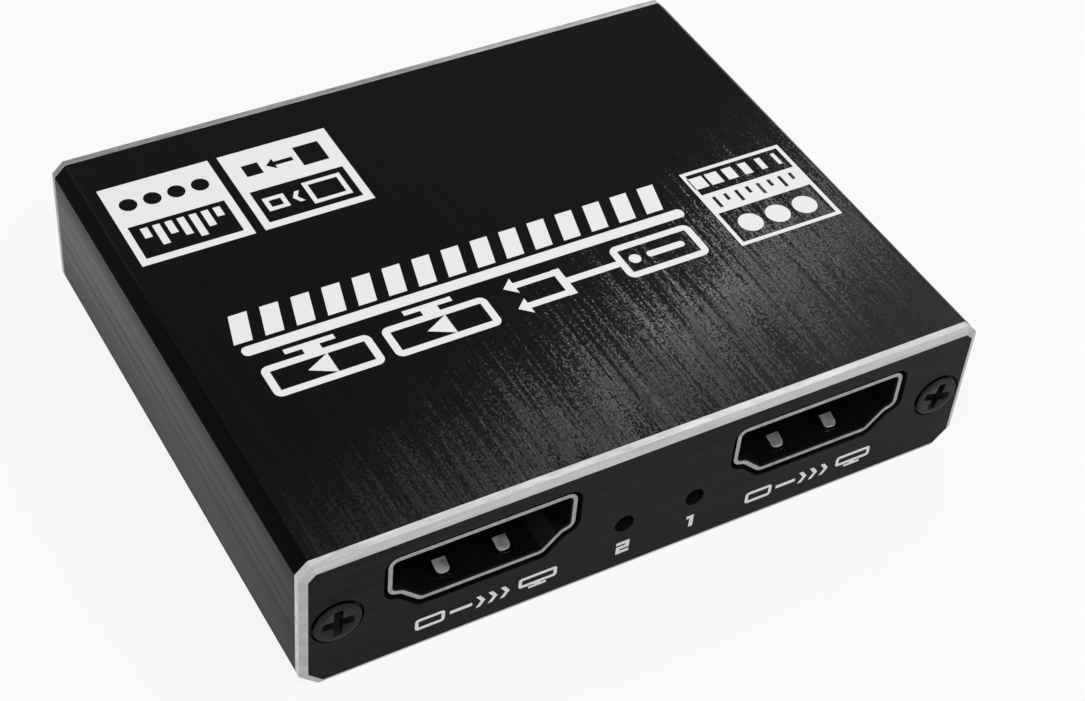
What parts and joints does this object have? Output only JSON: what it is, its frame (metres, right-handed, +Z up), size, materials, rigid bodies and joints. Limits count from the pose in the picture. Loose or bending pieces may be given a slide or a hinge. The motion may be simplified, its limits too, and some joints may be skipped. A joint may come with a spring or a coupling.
{
  "type": "hdmi splitter",
  "caption": "Small black metal box that sends a video input on to several outputs, with screwed end plates, sockets, indicator lights, a power socket and a slide switch bank.",
  "frame": {"origin": "centre of the base, on the surface that the box stands on", "axes": "+X to the right as the output side is faced, +Y from the output side to the input side, +Z up"},
  "size_m": [0.057, 0.0472, 0.0129],
  "materials": {
    "anodised_black": "brushed black anodised",
    "screw_black": "black oxide",
    "plated_steel": "nickel plated",
    "black_plastic": "moulded matt",
    "white_plastic": "moulded matt",
    "contact_metal": "gold flash",
    "board": "black solder mask",
    "chip_body": "moulded epoxy",
    "light_lens": "clear resin",
    "pad_rubber": "soft silicone",
    "capacitor_body": "fired ceramic and resin",
    "lead_metal": "tin plated"
  },
  "bodies": {
    "case": {"sleeve": "anodised_black", "front_plate": "anodised_black", "rear_plate": "anodised_black", "front_screws": "screw_black", "rear_screws": "screw_black", "circuit_board": "board", "output_1_shell": "plated_steel", "output_2_shell": "plated_steel", "input_shell": "plated_steel", "output_1_insulator": "black_plastic", "output_2_insulator": "black_plastic", "input_insulator": "black_plastic", "output_1_contacts": "contact_metal", "output_2_contacts": "contact_metal", "input_contacts": "contact_metal", "power_shell": "plated_steel", "power_insulator": "black_plastic", "power_contacts": "contact_metal", "switch_body": "black_plastic", "switch_cover": "black_plastic", "switch_contacts": "contact_metal", "output_1_light": "light_lens", "output_2_light": "light_lens", "power_light": "light_lens", "splitter_chip": "chip_body", "thermal_pad": "pad_rubber", "controller_chip": "chip_body", "memory_chip": "chip_body", "chip_leads": "lead_metal", "crystal": "lead_metal", "inductor": "chip_body", "step_down_regulator": "chip_body", "linear_regulator": "chip_body", "bulk_capacitors": "capacitor_body", "ceramic_capacitors": "capacitor_body", "resistors": "chip_body", "surge_arrays": "chip_body"},
    "slide_1": {"slider_1": "white_plastic", "wiper_1": "contact_metal"},
    "slide_2": {"slider_2": "white_plastic", "wiper_2": "contact_metal"},
    "slide_3": {"slider_3": "white_plastic", "wiper_3": "contact_metal"},
    "slide_4": {"slider_4": "white_plastic", "wiper_4": "contact_metal"}
  },
  "joints": [
    {"name": "slide_1_travel", "type": "slide", "parent": "case", "child": "slide_1", "axis": [0, 0, 1], "range_m": [0, 0.0014]},
    {"name": "slide_2_travel", "type": "slide", "parent": "case", "child": "slide_2", "axis": [0, 0, 1], "range_m": [0, 0.0014]},
    {"name": "slide_3_travel", "type": "slide", "parent": "case", "child": "slide_3", "axis": [0, 0, 1], "range_m": [0, 0.0014]},
    {"name": "slide_4_travel", "type": "slide", "parent": "case", "child": "slide_4", "axis": [0, 0, 1], "range_m": [0, 0.0014]}
  ]
}
